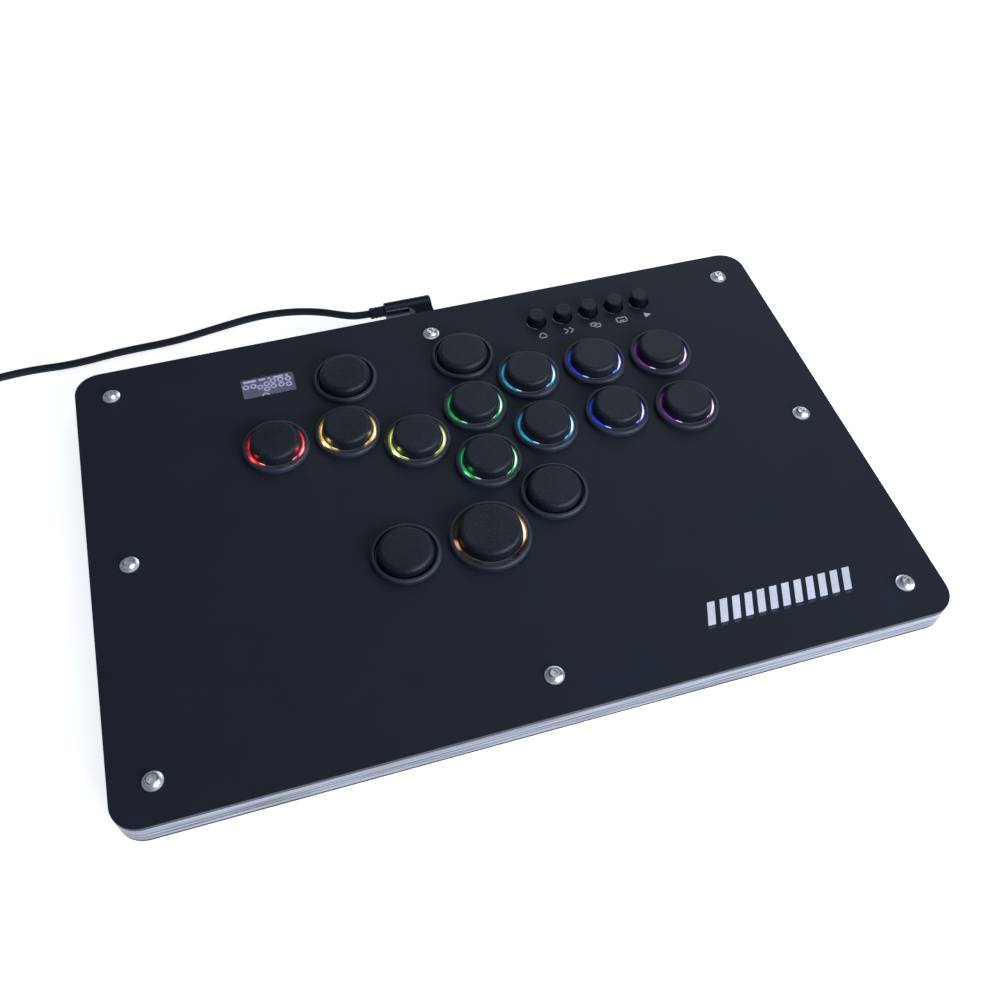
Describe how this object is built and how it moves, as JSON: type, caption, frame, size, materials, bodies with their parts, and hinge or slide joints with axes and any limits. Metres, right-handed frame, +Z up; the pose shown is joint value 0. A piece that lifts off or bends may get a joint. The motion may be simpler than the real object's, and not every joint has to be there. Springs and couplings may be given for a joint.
{
  "type": "arcade button controller",
  "caption": "Flat all-button arcade controller: layered acrylic case with lit push buttons, small function buttons, a display window, corner screws and a coiled USB lead.",
  "frame": {"origin": "bottom centre of the case, on the surface that its rubber feet stand on", "axes": "+X to the player's right along the long side, +Y to the back where the USB socket is, +Z up out of the button panel"},
  "size_m": [0.4012, 0.2284, 0.019],
  "materials": {
    "panel_acrylic": "satin black printed acrylic",
    "clear_acrylic": "clear acrylic, frosted by the cut",
    "base_acrylic": "satin black",
    "screw_steel": "bright",
    "nut_steel": "satin",
    "foot_rubber": "matte",
    "sheet_silicone": "matte",
    "circuit_board": "solder mask",
    "chip_plastic": "matte",
    "lamp_plastic": "translucent",
    "switch_plastic": "matte",
    "spring_steel": "bright",
    "display_glass": "gloss",
    "window_acrylic": "gloss",
    "connector_steel": "satin",
    "plug_plastic": "satin moulded",
    "collar_plastic": "matte",
    "cable_braid": "braided nylon",
    "tie_fabric": "hook-and-loop strap",
    "rim_plastic": "finely textured",
    "ring_plastic": "clear, lit from below",
    "cap_plastic": "finely textured",
    "function_cap_plastic": "satin"
  },
  "bodies": {
    "case": {"action_light_rings": "ring_plastic", "action_rims": "rim_plastic", "base_plate": "base_acrylic", "button_leds": "lamp_plastic", "cable_coil": "cable_braid", "case_screws": "screw_steel", "coil_tie": "tie_fabric", "controller_chips": "chip_plastic", "direction_light_rings": "ring_plastic", "direction_rims": "rim_plastic", "display_board": "circuit_board", "display_panel": "display_glass", "display_window": "window_acrylic", "extra_rims": "rim_plastic", "far_plug_body": "plug_plastic", "far_plug_shell": "connector_steel", "function_switches": "switch_plastic", "insulating_sheet": "sheet_silicone", "key_switches": "switch_plastic", "lower_frame": "clear_acrylic", "main_board": "circuit_board", "middle_frame": "clear_acrylic", "plug_body": "plug_plastic", "plug_collar": "collar_plastic", "plug_shell": "connector_steel", "return_springs": "spring_steel", "rubber_feet": "foot_rubber", "sleeve_nuts": "nut_steel", "top_panel": "panel_acrylic", "up_light_ring": "ring_plastic", "up_rim": "rim_plastic", "upper_frame": "clear_acrylic", "usb_cable": "cable_braid", "usb_socket": "connector_steel"},
    "action_button_1": {"action_cap_1": "cap_plastic"},
    "action_button_2": {"action_cap_2": "cap_plastic"},
    "action_button_3": {"action_cap_3": "cap_plastic"},
    "action_button_4": {"action_cap_4": "cap_plastic"},
    "action_button_5": {"action_cap_5": "cap_plastic"},
    "action_button_6": {"action_cap_6": "cap_plastic"},
    "action_button_7": {"action_cap_7": "cap_plastic"},
    "action_button_8": {"action_cap_8": "cap_plastic"},
    "down_button": {"down_cap": "cap_plastic"},
    "extra_button_1": {"extra_cap_1": "cap_plastic"},
    "extra_button_2": {"extra_cap_2": "cap_plastic"},
    "extra_button_3": {"extra_cap_3": "cap_plastic"},
    "extra_button_4": {"extra_cap_4": "cap_plastic"},
    "function_button_1": {"function_cap_1": "function_cap_plastic"},
    "function_button_2": {"function_cap_2": "function_cap_plastic"},
    "function_button_3": {"function_cap_3": "function_cap_plastic"},
    "function_button_4": {"function_cap_4": "function_cap_plastic"},
    "function_button_5": {"function_cap_5": "function_cap_plastic"},
    "left_button": {"left_cap": "cap_plastic"},
    "right_button": {"right_cap": "cap_plastic"},
    "up_button": {"up_cap": "cap_plastic"}
  },
  "joints": [
    {"name": "action_press_1", "type": "slide", "parent": "case", "child": "action_button_1", "axis": [0, 0, -1], "range_m": [0, 0.0026], "stiffness_N_per_m": 120, "springref_m": -0.0018, "deforming": ["return_springs"]},
    {"name": "action_press_2", "type": "slide", "parent": "case", "child": "action_button_2", "axis": [0, 0, -1], "range_m": [0, 0.0026], "stiffness_N_per_m": 120, "springref_m": -0.0018, "deforming": ["return_springs"]},
    {"name": "action_press_3", "type": "slide", "parent": "case", "child": "action_button_3", "axis": [0, 0, -1], "range_m": [0, 0.0026], "stiffness_N_per_m": 120, "springref_m": -0.0018, "deforming": ["return_springs"]},
    {"name": "action_press_4", "type": "slide", "parent": "case", "child": "action_button_4", "axis": [0, 0, -1], "range_m": [0, 0.0026], "stiffness_N_per_m": 120, "springref_m": -0.0018, "deforming": ["return_springs"]},
    {"name": "action_press_5", "type": "slide", "parent": "case", "child": "action_button_5", "axis": [0, 0, -1], "range_m": [0, 0.0026], "stiffness_N_per_m": 120, "springref_m": -0.0018, "deforming": ["return_springs"]},
    {"name": "action_press_6", "type": "slide", "parent": "case", "child": "action_button_6", "axis": [0, 0, -1], "range_m": [0, 0.0026], "stiffness_N_per_m": 120, "springref_m": -0.0018, "deforming": ["return_springs"]},
    {"name": "action_press_7", "type": "slide", "parent": "case", "child": "action_button_7", "axis": [0, 0, -1], "range_m": [0, 0.0026], "stiffness_N_per_m": 120, "springref_m": -0.0018, "deforming": ["return_springs"]},
    {"name": "action_press_8", "type": "slide", "parent": "case", "child": "action_button_8", "axis": [0, 0, -1], "range_m": [0, 0.0026], "stiffness_N_per_m": 120, "springref_m": -0.0018, "deforming": ["return_springs"]},
    {"name": "down_press", "type": "slide", "parent": "case", "child": "down_button", "axis": [0, 0, -1], "range_m": [0, 0.0026], "stiffness_N_per_m": 120, "springref_m": -0.0018, "deforming": ["return_springs"]},
    {"name": "extra_press_1", "type": "slide", "parent": "case", "child": "extra_button_1", "axis": [0, 0, -1], "range_m": [0, 0.0026], "stiffness_N_per_m": 120, "springref_m": -0.0018, "deforming": ["return_springs"]},
    {"name": "extra_press_2", "type": "slide", "parent": "case", "child": "extra_button_2", "axis": [0, 0, -1], "range_m": [0, 0.0026], "stiffness_N_per_m": 120, "springref_m": -0.0018, "deforming": ["return_springs"]},
    {"name": "extra_press_3", "type": "slide", "parent": "case", "child": "extra_button_3", "axis": [0, 0, -1], "range_m": [0, 0.0026], "stiffness_N_per_m": 120, "springref_m": -0.0018, "deforming": ["return_springs"]},
    {"name": "extra_press_4", "type": "slide", "parent": "case", "child": "extra_button_4", "axis": [0, 0, -1], "range_m": [0, 0.0026], "stiffness_N_per_m": 120, "springref_m": -0.0018, "deforming": ["return_springs"]},
    {"name": "function_press_1", "type": "slide", "parent": "case", "child": "function_button_1", "axis": [0, 0, -1], "range_m": [0, 0.0005], "stiffness_N_per_m": 600, "springref_m": -0.0005},
    {"name": "function_press_2", "type": "slide", "parent": "case", "child": "function_button_2", "axis": [0, 0, -1], "range_m": [0, 0.0005], "stiffness_N_per_m": 600, "springref_m": -0.0005},
    {"name": "function_press_3", "type": "slide", "parent": "case", "child": "function_button_3", "axis": [0, 0, -1], "range_m": [0, 0.0005], "stiffness_N_per_m": 600, "springref_m": -0.0005},
    {"name": "function_press_4", "type": "slide", "parent": "case", "child": "function_button_4", "axis": [0, 0, -1], "range_m": [0, 0.0005], "stiffness_N_per_m": 600, "springref_m": -0.0005},
    {"name": "function_press_5", "type": "slide", "parent": "case", "child": "function_button_5", "axis": [0, 0, -1], "range_m": [0, 0.0005], "stiffness_N_per_m": 600, "springref_m": -0.0005},
    {"name": "left_press", "type": "slide", "parent": "case", "child": "left_button", "axis": [0, 0, -1], "range_m": [0, 0.0026], "stiffness_N_per_m": 120, "springref_m": -0.0018, "deforming": ["return_springs"]},
    {"name": "right_press", "type": "slide", "parent": "case", "child": "right_button", "axis": [0, 0, -1], "range_m": [0, 0.0026], "stiffness_N_per_m": 120, "springref_m": -0.0018, "deforming": ["return_springs"]},
    {"name": "up_press", "type": "slide", "parent": "case", "child": "up_button", "axis": [0, 0, -1], "range_m": [0, 0.0026], "stiffness_N_per_m": 120, "springref_m": -0.0018, "deforming": ["return_springs"]}
  ]
}
